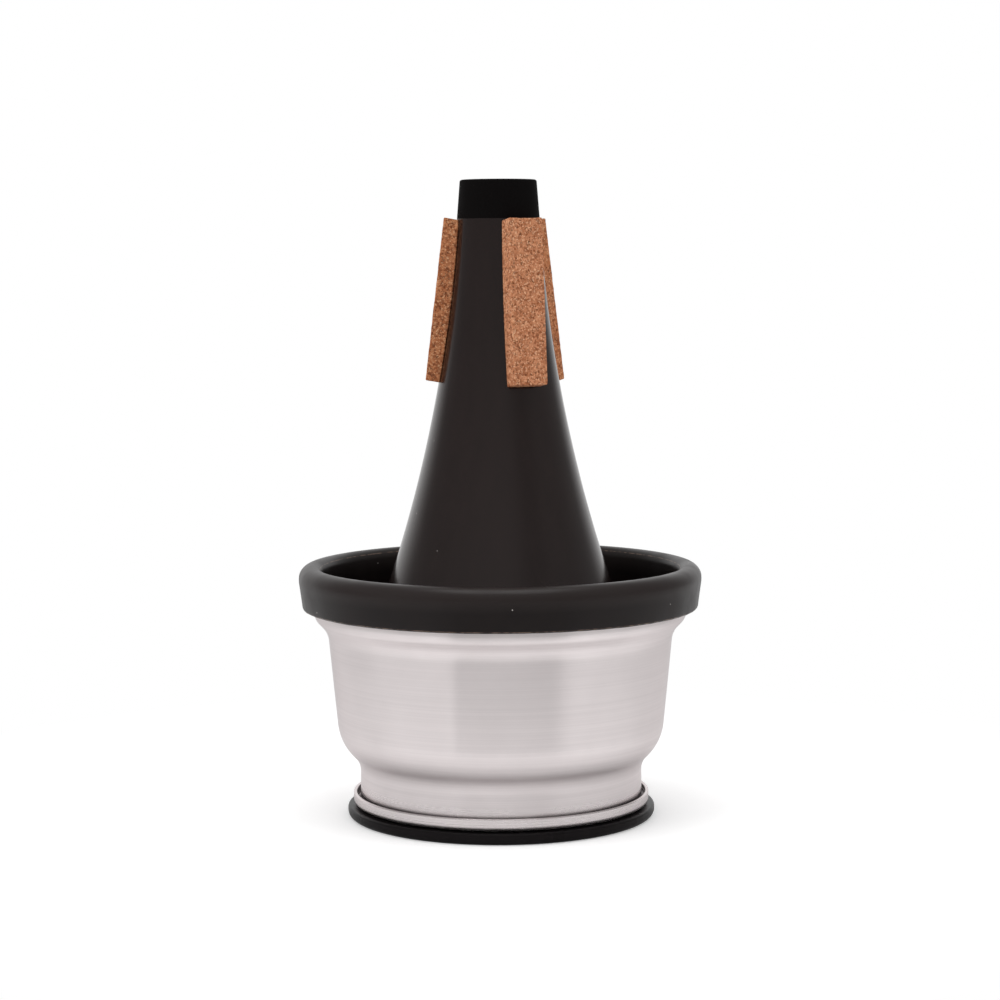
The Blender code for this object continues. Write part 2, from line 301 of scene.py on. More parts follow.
def add_node(tree: bpy.types.NodeTree, kind: str, inputs: dict | None = None,
             **settings: object) -> bpy.types.Node:
    """Add a shader node with its settings, and give its sockets values or links.

    Args:
        tree: The material's node tree.
        kind: The node's type without ShaderNode.
        inputs: Socket name or number to a value, or to the output socket that feeds it.
        settings: The node's own properties.

    Returns:
        The node.
    """
    node = tree.nodes.new("ShaderNode" + kind)
    for name, value in settings.items():
        setattr(node, name, value)
    for socket, value in (inputs or {}).items():
        if isinstance(value, bpy.types.NodeSocket):
            tree.links.new(value, node.inputs[socket])
        else:
            node.inputs[socket].default_value = value
    return node


class Finish:
    """What every finish shares: an empty material with its shader and the place in millimetres."""

    name: str = ""

    def start(self) -> tuple[bpy.types.Material, bpy.types.NodeTree, bpy.types.NodeSocket]:
        """Make the material.

        Returns:
            The material, its node tree and the output with the object's coordinates in millimetres.
        """
        made = bpy.data.materials.new(self.name)
        made.use_nodes = True
        tree = made.node_tree
        tree.nodes.clear()
        place = add_node(tree, "TexCoord").outputs["Object"]
        scaled = add_node(tree, "VectorMath", {0: place, 1: (PER_METRE,) * 3}, operation="MULTIPLY")
        return made, tree, scaled.outputs[0]

    def close(self, tree: bpy.types.NodeTree, shader: bpy.types.Node) -> None:
        """Join the shader to the material's output."""
        add_node(tree, "OutputMaterial", {"Surface": shader.outputs[0]})


def noise(tree: bpy.types.NodeTree, place: bpy.types.NodeSocket, size_mm: float,
          detail: float = 2.0, stretch: tuple[float, float, float] = (1.0, 1.0, 1.0)) -> bpy.types.NodeSocket:
    """Noise whose features are about size_mm across, drawn out along an axis where stretch is above one."""
    squeeze = tuple(1.0 / s for s in stretch)
    vector = add_node(tree, "VectorMath", {0: place, 1: squeeze}, operation="MULTIPLY").outputs[0]
    made = add_node(tree, "TexNoise", {"Vector": vector, "Scale": 1.0 / size_mm, "Detail": detail})
    return made.outputs[0]


def spread(tree: bpy.types.NodeTree, value: bpy.types.NodeSocket, low: float, high: float,
           start: float = 0.3, end: float = 0.7) -> bpy.types.NodeSocket:
    """Turn the part of a value between start and end into the range from low to high."""
    made = add_node(tree, "MapRange", {"Value": value, "From Min": start, "From Max": end,
                                       "To Min": low, "To Max": high})
    return made.outputs[0]


def blended(tree: bpy.types.NodeTree, share: bpy.types.NodeSocket, first: object,
            second: object) -> bpy.types.NodeSocket:
    """Mix two colours by a share."""
    made = add_node(tree, "Mix", {0: share, 6: first, 7: second}, data_type="RGBA")
    return made.outputs[2]


@dataclass(frozen=True)
class SpunAluminium(Finish):
    """Aluminium sheet spun on a lathe and polished: bare metal that mirrors sharply sideways and smears
    up and down, because the cloth left fine lines round the axis. The foot, pressed hard on the mandrel,
    mirrors more sharply, and the crevice of its lip is painted dark as shade."""

    name: str = "Spun aluminium"
    pale: str = "#f1e9e9"
    dull: str = "#ede5e5"
    line: str = "#d2caca"
    crevice_shade: str = "#1d2026"
    roughness: float = 0.3
    foot_share: float = 0.9     # of the roughness, left on the foot
    lines_mm: float = 0.24      # real lines are about 0.1 mm apart; drawn as coarse as they need to show
    ridges_mm: float = 1.2      # what the spinning roller left

    def build(self) -> bpy.types.Material:
        """Make the material."""
        made, tree, place = self.start()
        along = add_node(tree, "Attribute", attribute_name="along_mm").outputs["Fac"]
        split = add_node(tree, "SeparateXYZ", {0: place})
        # a line keeps its depth for some 60 mm round the cup before it fades into the next
        rings = add_node(tree, "CombineXYZ", {
            0: add_node(tree, "Math", {0: split.outputs[0], 1: 0.004}, operation="MULTIPLY").outputs[0],
            1: add_node(tree, "Math", {0: split.outputs[1], 1: 0.004}, operation="MULTIPLY").outputs[0],
            2: along,
        }).outputs[0]
        lines = noise(tree, rings, self.lines_mm, detail=0.0)
        ridges = noise(tree, rings, self.ridges_mm, detail=1.0)
        smears = noise(tree, place, 14.0, detail=3.0)
        worn = add_node(tree, "Math", {0: ridges, 1: smears}, operation="ADD").outputs[0]
        tone = blended(tree, spread(tree, worn, 0.0, 1.0, 0.8, 1.2), linear(self.pale), linear(self.dull))
        tone = blended(tree, spread(tree, lines, 0.0, 0.1, 0.35, 0.65), tone, linear(self.line))
        above = add_node(tree, "Attribute", attribute_name="above_lip_mm").outputs["Fac"]
        # painted shade: the crevice between lip and neck is darkened towards a blue-black below the lip's top
        # edge
        tone = blended(tree, spread(tree, above, 0.6, 0.0, -0.3, -0.05), tone, linear(self.crevice_shade))
        rough = add_node(tree, "Math", {
            0: spread(tree, lines, self.roughness - 0.01, self.roughness + 0.01),
            1: spread(tree, smears, -0.01, 0.01)}, operation="ADD").outputs[0]
        burnished = spread(tree, split.outputs[2], self.foot_share, 1.0, 7.0, 12.0)
        rough = add_node(tree, "Math", {0: rough, 1: burnished}, operation="MULTIPLY").outputs[0]
        bump = add_node(tree, "Bump", {"Strength": 0.1, "Distance": 0.02 * MM, "Height": lines})
        tangent = add_node(tree, "Tangent", direction_type="RADIAL", axis="Z")
        shader = add_node(tree, "BsdfPrincipled", {
            "Base Color": tone, "Metallic": 1.0, "Roughness": rough, "Anisotropic": 0.95,
            "Anisotropic Rotation": 0.25, "Specular Tint": (0.78, 0.76, 0.76, 1.0),
            "Normal": bump.outputs[0], "Tangent": tangent.outputs[0]})
        self.close(tree, shader)
        return made


@dataclass(frozen=True)
class MouldedPlastic(Finish):
    """Black moulded plastic: a clear gloss over a dead black body, with faint flow marks that run the
    way the melt ran and a few specks of dust."""

    name: str = "Glossy black moulding"
    deep: str = "#130b0a"
    flow: str = "#160d0c"
    roughness: float = 0.18
    shine: float = 0.54
    dust: str = "#6b6765"
    dust_share: float = 0.03
    flow_mm: float = 2.5

    def build(self) -> bpy.types.Material:
        """Make the material."""
        made, tree, place = self.start()
        marks = noise(tree, place, self.flow_mm, detail=2.0, stretch=(1.0, 1.0, 30.0))
        skin = noise(tree, place, 1.6, detail=2.0)
        specks = add_node(tree, "TexVoronoi", {"Vector": place, "Scale": 1.0 / 7.0})
        grain = add_node(tree, "Math", {0: specks.outputs["Distance"], 1: self.dust_share},
                         operation="LESS_THAN").outputs[0]
        tone = blended(tree, spread(tree, marks, 0.0, 1.0), linear(self.deep), linear(self.flow))
        tone = blended(tree, grain, tone, linear(self.dust))
        rough = spread(tree, marks, self.roughness - 0.04, self.roughness + 0.04)
        bump = add_node(tree, "Bump", {"Strength": 0.1, "Distance": 0.01 * MM, "Height": skin})
        shader = add_node(tree, "BsdfPrincipled", {
            "Base Color": tone, "Roughness": rough, "IOR": 1.5, "Specular IOR Level": self.shine,
            "Specular Tint": (1.0, 0.9, 0.88, 1.0), "Normal": bump.outputs[0]})
        self.close(tree, shader)
        return made


@dataclass(frozen=True)
class BlackRubber(Finish):
    """Moulded black rubber: a soft satin skin with a little bloom, fine dust and a painted sheen that grey its
    crown, and the brownish thread of flash that the mould's parting line left."""

    name: str = "Black rubber"
    deep: str = "#120c0c"
    bloom: str = "#17100f"
    crown_dust_and_sheen: str = "#241e1d"
    dust: str = "#b5b0ac"
    flash: str = "#64544a"
    roughness: float = 0.36
    bloom_mm: float = 9.0
    thread_mm: float = 0.16     # half the width of the thread

    def build(self) -> bpy.types.Material:
        """Make the material."""
        made, tree, place = self.start()
        cloudy = noise(tree, place, self.bloom_mm, detail=4.0)
        skin = noise(tree, place, 0.6, detail=2.0)
        specks = add_node(tree, "TexVoronoi", {"Vector": place, "Scale": 1.0 / 4.5})
        grain = add_node(tree, "Math", {0: specks.outputs["Distance"], 1: 0.035},
                         operation="LESS_THAN").outputs[0]
        tone = blended(tree, spread(tree, cloudy, 0.0, 1.0), linear(self.deep), linear(self.bloom))
        under = add_node(tree, "Attribute", attribute_name="under_crown_mm").outputs["Fac"]
        # dust with a painted sheen: greyer over the crown, fading out between 3 and 6.5 mm below it
        tone = blended(tree, spread(tree, under, 1.0, 0.0, 3.0, 6.5), tone, linear(self.crown_dust_and_sheen))
        away = add_node(tree, "Attribute", attribute_name="thread_mm").outputs["Fac"]
        away = add_node(tree, "Math", {0: away}, operation="ABSOLUTE").outputs[0]
        thread = spread(tree, away, 1.0, 0.0, 0.4 * self.thread_mm, self.thread_mm)
        broken = spread(tree, noise(tree, place, 1.4, detail=3.0), 0.1, 1.0, 0.42, 0.6)
        thread = add_node(tree, "Math", {0: thread, 1: broken}, operation="MULTIPLY").outputs[0]
        tone = blended(tree, thread, tone, linear(self.flash))
        tone = blended(tree, grain, tone, linear(self.dust))
        rough = spread(tree, cloudy, self.roughness - 0.06, self.roughness + 0.06)
        bump = add_node(tree, "Bump", {"Strength": 0.15, "Distance": 0.02 * MM, "Height": skin})
        shader = add_node(tree, "BsdfPrincipled", {
            "Base Color": tone, "Roughness": rough, "IOR": 1.5, "Specular IOR Level": 0.22,
            "Normal": bump.outputs[0]})
        self.close(tree, shader)
        return made


@dataclass(frozen=True)
class SoftBlack(Finish):
    """Dull black sleeve of soft rubber with a powdery skin that gives back almost no light."""

    name: str = "Soft black sleeve"
    deep: str = "#090707"
    worn: str = "#0d0b0b"
    roughness: float = 0.75
    grain_mm: float = 0.5

    def build(self) -> bpy.types.Material:
        """Make the material."""
        made, tree, place = self.start()
        grain = noise(tree, place, self.grain_mm, detail=3.0)
        tone = blended(tree, spread(tree, grain, 0.0, 1.0), linear(self.deep), linear(self.worn))
        rough = spread(tree, grain, self.roughness - 0.1, self.roughness + 0.1)
        bump = add_node(tree, "Bump", {"Strength": 0.3, "Distance": 0.03 * MM, "Height": grain})
        shader = add_node(tree, "BsdfPrincipled", {
            "Base Color": tone, "Roughness": rough, "IOR": 1.45, "Specular IOR Level": 0.05,
            "Normal": bump.outputs[0]})
        self.close(tree, shader)
        return made


@dataclass(frozen=True)
class BlackFelt(Finish):
    """Pressed black felt: matted fibres with a faint bloom at a low angle."""

    name: str = "Black felt"
    deep: str = "#0d0c0c"
    fibre: str = "#1b1919"
    fibre_mm: float = 0.7

    def build(self) -> bpy.types.Material:
        """Make the material."""
        made, tree, place = self.start()
        matted = noise(tree, place, self.fibre_mm, detail=5.0, stretch=(1.0, 1.0, 1.6))
        tone = blended(tree, spread(tree, matted, 0.0, 1.0), linear(self.deep), linear(self.fibre))
        rough = spread(tree, matted, 0.85, 1.0)
        bump = add_node(tree, "Bump", {"Strength": 0.5, "Distance": 0.1 * MM, "Height": matted})
        shader = add_node(tree, "BsdfPrincipled", {
            "Base Color": tone, "Roughness": rough, "Specular IOR Level": 0.2,
            "Normal": bump.outputs[0]})
        self.close(tree, shader)
        return made


@dataclass(frozen=True)
class PressedCork(Finish):
    """Cork granules pressed with a binder and cut: each granule has its own brown, pale flecks and dark
    bark specks lie between, and the cut leaves small pits."""

    name: str = "Pressed cork"
    pale: str = "#c98d68"
    middle: str = "#ab6c49"
    brown: str = "#7f462a"
    fleck: str = "#deb18d"
    bark: str = "#472616"
    granule_mm: float = 0.6
    grit_mm: float = 0.34
    bark_mm: float = 0.75

    def build(self) -> bpy.types.Material:
        """Make the material."""
        made, tree, place = self.start()
        wander = add_node(tree, "TexNoise", {"Vector": place, "Scale": 1.2, "Detail": 2.0}).outputs[1]
        bent = add_node(tree, "VectorMath", {0: wander, 1: (0.2,) * 3, 2: place},
                        operation="MULTIPLY_ADD").outputs[0]
        granules = add_node(tree, "TexVoronoi", {"Vector": bent, "Scale": 1.0 / self.granule_mm})
        pick = add_node(tree, "SeparateXYZ", {0: granules.outputs["Color"]})
        tone = blended(tree, pick.outputs[0], linear(self.middle), linear(self.pale))
        tone = blended(tree, spread(tree, pick.outputs[1], 0.0, 0.8, 0.55, 0.9), tone, linear(self.brown))
        fine = noise(tree, place, 0.35, detail=3.0)
        tone = blended(tree, spread(tree, fine, 0.0, 0.6, 0.45, 0.75), tone, linear(self.brown))
        grit = add_node(tree, "TexVoronoi", {"Vector": bent, "Scale": 1.0 / self.grit_mm})
        grit = add_node(tree, "SeparateXYZ", {0: grit.outputs["Color"]})
        tone = blended(tree, spread(tree, grit.outputs[0], 0.0, 0.6, 0.82, 0.94), tone, linear(self.fleck))
        tone = blended(tree, spread(tree, grit.outputs[1], 0.0, 0.65, 0.83, 0.95), tone, linear(self.bark))
        crumbs = noise(tree, place, self.bark_mm, detail=4.0)
        bark = spread(tree, crumbs, 0.0, 0.8, 0.64, 0.72)
        tone = blended(tree, bark, tone, linear(self.bark))
        height = add_node(tree, "Math", {0: granules.outputs["Distance"], 1: bark},
                          operation="ADD").outputs[0]
        bump = add_node(tree, "Bump", {"Strength": 0.5, "Distance": 0.12 * MM, "Height": height},
                        invert=True)
        shader = add_node(tree, "BsdfPrincipled", {
            "Base Color": tone, "Roughness": spread(tree, fine, 0.8, 0.95),
            "Specular IOR Level": 0.25, "Normal": bump.outputs[0]})
        self.close(tree, shader)
        return made


# The cone and what is fixed to it


@dataclass(frozen=True)
class CorkPlace:
    """A cork strip, cut by hand to its own size, and where it is glued.

    The azimuth runs from the front to +X, the turn is the strip's own across its face, the gap is below
    the cone's shoulder, and the face lies that far from the axis, level with the shoulder.
    """

    side: str
    azimuth: float
    turn: float
    top_gap: float
    length: float
    top_width: float
    foot_width: float
    face: float


@dataclass
class ConeAssembly:
    """Hollow flared cone on its end cap, with a soft sleeve on its tip and three cork strips."""

    flange_radius: float = 41.4 * MM
    flange_thickness: float = 3.0 * MM
    flange_top_round: float = 0.7 * MM
    flange_foot_round: float = 1.5 * MM
    cap_floor: float = 2.0 * MM
    foot_ring: float = 6.5 * MM
    spigot_height: float = 6.0 * MM
    spigot_wall: float = 2.0 * MM
    shoulder_height: float = 160.0 * MM
    wall: float = 1.5 * MM
    tip_radius: float = 11.0 * MM
    tip_angle: float = math.radians(3.44)
    land_radius: float = 34.8 * MM
    land_height: float = 49.3 * MM
    tip_step: float = 2.0 * MM
    sleeve_length: float = 10.3 * MM
    sleeve_top_radius: float = 10.2 * MM
    sleeve_round: float = 0.6 * MM
    sleeve_overhang: float = 0.6 * MM
    cork_depth: float = 4.0 * MM        # of the section before it is stretched between its two faces
    cork_face_lean: float = math.radians(6.85)
    cork_cut_lean: float = math.radians(10.0)
    cork_round: float = 0.3 * MM
    corks: tuple[CorkPlace, ...] = (
        CorkPlace("front", math.radians(27.1), math.radians(1.7), 0.6 * MM, 43.4 * MM,
                  top_width=9.9 * MM, foot_width=9.8 * MM, face=14.5 * MM),
        CorkPlace("left", math.radians(-93.0), 0.0, 0.3 * MM, 43.0 * MM,
                  top_width=8.5 * MM, foot_width=8.5 * MM, face=14.3 * MM),
        CorkPlace("rear", math.radians(137.2), math.radians(2.7), 0.5 * MM, 43.4 * MM,
                  top_width=10.0 * MM, foot_width=10.1 * MM, face=14.5 * MM))
    flare_steps: int = 48
    cork_rows: int = 150

    def radius_at(self, height: np.ndarray) -> np.ndarray:
        """Radius of the flare's outer face: an arc from the tip to the land, at its set angle at the tip.

        The arc's radius is its chord divided by twice the sine of the angle between chord and tangent.
        """
        out, up = self.land_radius - self.tip_radius, self.shoulder_height - self.land_height
        flare = math.hypot(out, up) / (2 * math.sin(math.atan2(out, up) - self.tip_angle))
        centre_height = self.shoulder_height + flare * math.sin(self.tip_angle)
        centre_radius = self.tip_radius + flare * math.cos(self.tip_angle)
        return centre_radius - np.sqrt(flare ** 2 - (centre_height - height) ** 2)

    def cap(self) -> bpy.types.Object:
        """End cap: the flange, its recessed underside and the spigot that plugs the cone."""
        outer = self.land_radius - self.wall - SEAT_GAP
        inner = outer - self.spigot_wall
        recess = self.flange_radius - self.flange_foot_round - self.foot_ring
        depth = self.flange_thickness - self.cap_floor
        top = self.flange_thickness + self.spigot_height
        line = rounded([
            (0.0, self.flange_thickness), (inner, self.flange_thickness), (inner, top), (outer, top),
            (outer, self.flange_thickness), (self.flange_radius, self.flange_thickness),
            (self.flange_radius, 0.0), (recess, 0.0), (recess, depth), (0.0, depth),
        ], [0, 0, 0, 0, self.flange_top_round, self.flange_foot_round, 0, 0])
        return turned("end_cap", line[::-1], poles=True)

    def shell(self) -> bpy.types.Object:
        """Cone: set-in neck under the sleeve, flare and straight land, with an even wall."""
        neck = self.tip_radius - self.tip_step
        top = self.shoulder_height + self.sleeve_length - self.sleeve_overhang
        heights = np.linspace(self.shoulder_height, self.land_height, self.flare_steps + 1)
        flare = np.column_stack((self.radius_at(heights), heights))
        face = np.vstack(([(neck, top), (neck, self.shoulder_height)], flare,
                          [(self.land_radius, self.flange_thickness + SEAT_GAP)]))
        outline = np.vstack((face, offset(face, self.wall)[::-1]))
        return turned("flared_cone", outline[::-1])

    def sleeve(self) -> bpy.types.Object:
        """Soft sleeve over the cone's neck, flush with the flare and drawn in towards its open end."""
        bore = self.tip_radius - self.tip_step + SEAT_GAP
        bottom = self.shoulder_height + CONTACT
        top = self.shoulder_height + self.sleeve_length
        line = rounded([(bore, bottom), (bore, top), (self.sleeve_top_radius, top),
                        (self.tip_radius, bottom), (bore, bottom)], [0, self.sleeve_round, 0])
        return turned("sleeve_on_tip", line[:-1][::-1])

    def cork(self, place: CorkPlace, seed: int) -> bpy.types.Object:
        """Cork strip: a bar of rounded section between the cone and a flat face, cut through granules.

        A row of the grid is the bar's section at one place along it. Near an end the section draws in by
        one minus the cosine of an angle while the place moves out by one minus its sine, times the
        rounding; then it shrinks to a point, which closes the end. The section's height is a share of the
        way from the cone to the plane of the outer face, along the slope of the cut ends.

        Args:
            place: Where the strip is glued.
            seed: Chooses the granules.

        Returns:
            The object.
        """
        half, depth, corner = place.foot_width / 2, self.cork_depth, self.cork_round
        loop = rounded([(0.0, 0.0), (half, 0.0), (half, depth), (-half, depth), (-half, 0.0), (0.0, 0.0)],
                       [corner] * 4, steps=4)
        section = divided(loop, 0.3 * MM)[:-1]
        middle = np.array((0.0, depth / 2))
        size = np.array((half, depth / 2))
        turn = np.linspace(0.0, math.pi / 2, 5)
        flat = np.linspace(0.0, 1.0, 7)[1:-1, None] * (1.0 - corner / size)
        drawn_in = 1.0 - corner * (1.0 - np.cos(turn[::-1, None])) / size
        shrink = np.vstack((flat, drawn_in, np.ones((self.cork_rows, 2)), drawn_in[::-1], flat[::-1]))
        end = np.concatenate((np.zeros(len(flat)), corner * (1.0 - np.sin(turn[::-1]))))
        body = np.linspace(corner, place.length - corner, self.cork_rows + 2)[1:-1]
        along = np.concatenate((end, body, place.length - end[::-1]))
        grid = middle + (section[None] - middle) * shrink[:, None, :]
        raw = np.column_stack((grid.reshape(-1, 2), np.repeat(along, len(section))))
        raw = np.vstack((raw, [(*middle, 0.0), (*middle, place.length)]))
        raw = raw + self.granules(raw, place, seed)
        across, lift, down = raw[:, 0], np.clip(raw[:, 1] / depth, 0.0, None), raw[:, 2]
        narrow = place.top_width / place.foot_width
        across = across * (narrow + (1.0 - narrow) * down / place.length)
        across = across + math.tan(place.turn) * (place.length / 2 - down)
        height = self.shoulder_height - place.top_gap - down
        out = np.sqrt((self.radius_at(height) + CONTACT) ** 2 - across ** 2)
        reach = ((place.face - out) * math.cos(self.cork_face_lean)
                 + (self.shoulder_height - height) * math.sin(self.cork_face_lean))
        reach = lift * reach / math.cos(self.cork_cut_lean - self.cork_face_lean)
        out = out + reach * math.cos(self.cork_cut_lean)
        height = height + reach * math.sin(self.cork_cut_lean)
        cos, sin = math.cos(place.azimuth - math.pi / 2), math.sin(place.azimuth - math.pi / 2)
        points = np.column_stack((out * cos - across * sin, out * sin + across * cos, height))
        rows, sides = len(shrink), len(section)
        side = np.arange(sides)
        beside = (side + 1) % sides
        final = (rows - 1) * sides
        faces = [ring_faces(rows, sides, wrap=False),
                 np.stack((np.full(sides, rows * sides), beside, side), axis=-1),
                 np.stack((np.full(sides, rows * sides + 1), final + side, final + beside), axis=-1)]
        return mesh_object(f"cork_{place.side}", points, faces)

    def granules(self, raw: np.ndarray, place: CorkPlace, seed: int) -> np.ndarray:
        """How far cut granules move the bar's faces: noise along the faces' own direction, more at edges.

        Args:
            raw: Points of the straight bar, as (across, depth, along).
            place: The strip, for its size.
            seed: Chooses the noise.

        Returns:
            What is added to each point.
        """
        size = np.array((place.foot_width / 2, self.cork_depth / 2, place.length / 2))
        away = raw / size - np.array((0.0, 1.0, 1.0))
        bite = lattice_noise(raw, 1.0 * MM, seed) + 0.6 * lattice_noise(raw, 0.45 * MM, seed + 1)
        near_edge = np.clip((np.sort(np.abs(away), axis=1)[:, 1] - 0.85) / 0.15, 0.0, 1.0)
        push = (0.02 + 0.04 * near_edge) * MM * bite - 0.03 * MM * near_edge
        return np.sign(away) * (np.abs(away) > 0.97) * push[:, None]

    def build(self) -> None:
        """Build every piece of the cone and dress it."""
        gloss = MouldedPlastic().build()
        satin = MouldedPlastic(name="Satin black moulding", deep="#121011", flow="#151314", roughness=0.3,
                               shine=0.08, flow_mm=4.0).build()
        cork = PressedCork().build()
        # painted shade: a darker, browner copy of the cork for the left and rear strips
        shaded_cork = PressedCork(name="Pressed cork, painted darker as shade", pale="#bf8159", middle="#a0603c",
                                brown="#743d22", fleck="#d3a37c").build()
        show(self.shell(), "cone_shell", Body.CONE, gloss)
        show(self.cap(), "base_cap", Body.CONE, satin)
        show(self.sleeve(), "tip_sleeve", Body.CONE, SoftBlack().build())
        for seed, place in enumerate(self.corks):
            show(self.cork(place, 10 * seed), f"cork_strip_{place.side}", Body.CONE,
                 cork if place.side == "front" else shaded_cork)


# The cup and what slides with it


@dataclass
class CupAssembly:
    """Spun aluminium cup with a rubber channel on its edge, a dark lining and a felt ring in its neck."""

    foot: float = 3.3 * MM
    sheet: float = 0.9 * MM
    neck_radius: float = 37.95 * MM
    neck_height: float = 11.5 * MM
    neck_round: float = 6.3 * MM
    shoulder_reach: float = 5.5 * MM
    shoulder_rise: float = 5.3 * MM
    shoulder_round: float = 13.2 * MM
    wall_height: float = 30.0 * MM
    wall_taper: float = 0.097
    step_reach: float = 3.65 * MM
    step_rise: float = 3.8 * MM
    step_hollow_round: float = 6.9 * MM
    step_crest_round: float = 3.6 * MM
    collar_height: float = 10.75 * MM
    bend_radius: float = 0.5 * MM
    lip_height: float = 1.9 * MM
    lip_round: float = 0.3 * MM
    bumper_side: float = 3.7 * MM
    bumper_foot_side: float = 2.7 * MM
    bumper_inner_leg: float = 1.0 * MM
    bumper_crown: float = 3.2 * MM
    bumper_outer_drop: float = 8.3 * MM
    bumper_inner_drop: float = 7.0 * MM
    bumper_full_drop: float = 0.95 * MM
    bumper_outer_round: float = 3.3 * MM
    bumper_inner_round: float = 2.6 * MM
    bumper_side_round: float = 8.0 * MM
    bumper_edge_round: float = 0.7 * MM
    flash: float = 0.12 * MM
    parting_drop: float = 1.0 * MM      # from the crown down to the parting line on its inner side
    edge_rise: float = 0.35 * MM        # from the lower outer edge up to the one there
    lining_thickness: float = 1.0 * MM
    lining_lift: float = 3.0 * MM
    grip_thickness: float = 1.65 * MM
    grip_length: float = 7.0 * MM

    def bend_height(self) -> float:
        """Height of the foot bend's centre."""
        return self.foot + self.sheet + self.bend_radius

    def collar_radius(self) -> float:
        """Outer radius of the straight collar at the cup's edge."""
        return self.neck_radius + self.shoulder_reach + self.wall_taper * self.wall_height + self.step_reach

    def edge(self) -> float:
        """Height of the sheet's upper edge."""
        return (self.foot + self.neck_height + self.shoulder_rise + self.wall_height + self.step_rise
                + self.collar_height)

    def bowl_line(self) -> np.ndarray:
        """Outer face of the cup from its edge down to the foot bend."""
        neck_top = self.foot + self.neck_height
        collar = self.collar_radius()
        shoulder_top = neck_top + self.shoulder_rise
        wall_top = shoulder_top + self.wall_height
        return rounded([
            (collar, self.edge()), (collar, wall_top + self.step_rise),
            (collar - self.step_reach, wall_top), (self.neck_radius + self.shoulder_reach, shoulder_top),
            (self.neck_radius, neck_top), (self.neck_radius, self.bend_height()),
        ], [self.step_crest_round, self.step_hollow_round, self.shoulder_round, self.neck_round],
            steps=16)

    def shell(self) -> bpy.types.Object:
        """Spun cup: collar, step, tapering wall, shoulder, neck and the foot's turned-up lip.

        Its above_lip_mm is the height above the lip on the faces of the crevice between lip and neck, where the
        finish paints shade.
        """
        turn = math.pi * np.linspace(0.0, 1.0, 15)[1:]
        centre = self.neck_radius + self.bend_radius
        bend = np.column_stack((centre - self.bend_radius * np.cos(turn),
                                self.bend_height() - self.bend_radius * np.sin(turn)))
        lip = [(centre + self.bend_radius, self.bend_height() + self.lip_height)]
        face = np.vstack((self.bowl_line(), bend, lip))
        outline = sheet_outline(face, self.sheet, self.lip_round)[::-1]
        cup = turned("spun_cup", outline)
        ring = closed_ring(outline)
        below = np.maximum(self.bend_height() - ring[:, 1], 0.0)
        crevice = np.hypot(ring[:, 0] - centre, below) < self.bend_radius + 0.1 * MM
        above = np.where(crevice, ring[:, 1] - lip[0][1], self.neck_height)
        store(cup, "above_lip_mm", np.repeat(above * PER_METRE, SIDES))
        return cup

    def bumper(self) -> bpy.types.Object:
        """Rubber channel pushed over the cup's edge, with a ragged thread of moulding flash at its foot.

        The flash moves the lower outer edge by noise that depends on the angle alone.
        """
        slot_outer = self.collar_radius() + SEAT_GAP
        slot_inner = self.collar_radius() - self.sheet - SEAT_GAP
        crown, edge = self.edge() + self.bumper_crown, self.edge()
        inner = slot_inner - self.bumper_inner_leg
        outer_foot, inner_foot = edge - self.bumper_outer_drop, edge - self.bumper_inner_drop
        side = slot_outer + self.bumper_side
        line = rounded([
            (slot_inner, inner_foot), (slot_inner, edge + SEAT_GAP), (slot_outer, edge + SEAT_GAP),
            (slot_outer, outer_foot), (slot_outer + self.bumper_foot_side, outer_foot),
            (side, edge - self.bumper_full_drop), (side, crown), (inner, crown), (inner, inner_foot),
        ], [0, 0, 0, self.bumper_edge_round, self.bumper_side_round, self.bumper_outer_round,
            self.bumper_inner_round])
        ring = closed_ring(line)
        angle = np.linspace(0.0, math.tau, SIDES, endpoint=False)
        circle = np.column_stack((np.cos(angle), np.sin(angle), np.zeros(SIDES))) * self.collar_radius()
        ragged = lattice_noise(circle, 1.6 * MM, 3)
        near = np.exp(-((ring[:, 1] - outer_foot) / (0.5 * MM)) ** 2) * (ring[:, 0] > slot_outer + MM)
        channel = turned("rubber_channel", line, ripple=self.flash * near[:, None] * ragged[None])
        # height above the parting line inside, and above the moulding's edge outside
        inside = ring[:, 0] < (slot_outer + slot_inner) / 2
        parting = np.where(inside, crown - self.parting_drop, outer_foot + self.edge_rise)
        store(channel, "thread_mm", np.repeat((ring[:, 1] - parting) * PER_METRE, SIDES))
        store(channel, "under_crown_mm", np.repeat((crown - ring[:, 1]) * PER_METRE, SIDES))
        return channel

    def lining(self) -> bpy.types.Object:
        """Thin lining on the inside of the bowl, from the shoulder up to the bumper's inner leg."""
        face = offset(self.bowl_line(), self.sheet + SEAT_GAP)[::-1]
        low = self.foot + self.neck_height + self.lining_lift
        high = self.edge() - self.bumper_inner_drop - SEAT_GAP
        ends = np.interp([low, high], face[:, 1], face[:, 0])
        inside = face[(face[:, 1] > low) & (face[:, 1] < high)]
        outer = np.vstack(([(ends[0], low)], inside, [(ends[1], high)]))
        return turned("bowl_lining", np.vstack((outer, offset(outer, -self.lining_thickness)[::-1])))

    def grip(self) -> bpy.types.Object:
        """Felt ring in the cup's neck, which slides on the cone's land."""
        side = self.neck_radius - self.sheet - SEAT_GAP
        bore, bottom = side - self.grip_thickness, self.bend_height()
        top, middle = bottom + self.grip_length, (bore + side) / 2
        line = rounded([(middle, bottom), (side, bottom), (side, top), (bore, top), (bore, bottom),
                        (middle, bottom)], [0.25 * MM] * 4)
        return turned("felt_ring", line[:-1])

    def build(self) -> None:
        """Build every piece of the cup and dress it."""
        felt = BlackFelt().build()
        show(self.shell(), "cup_shell", Body.CUP, SpunAluminium().build())
        show(self.bumper(), "rim_bumper", Body.CUP, BlackRubber().build())
        show(self.lining(), "cup_lining", Body.CUP, felt)
        show(self.grip(), "neck_grip", Body.CUP, felt)


# Studio


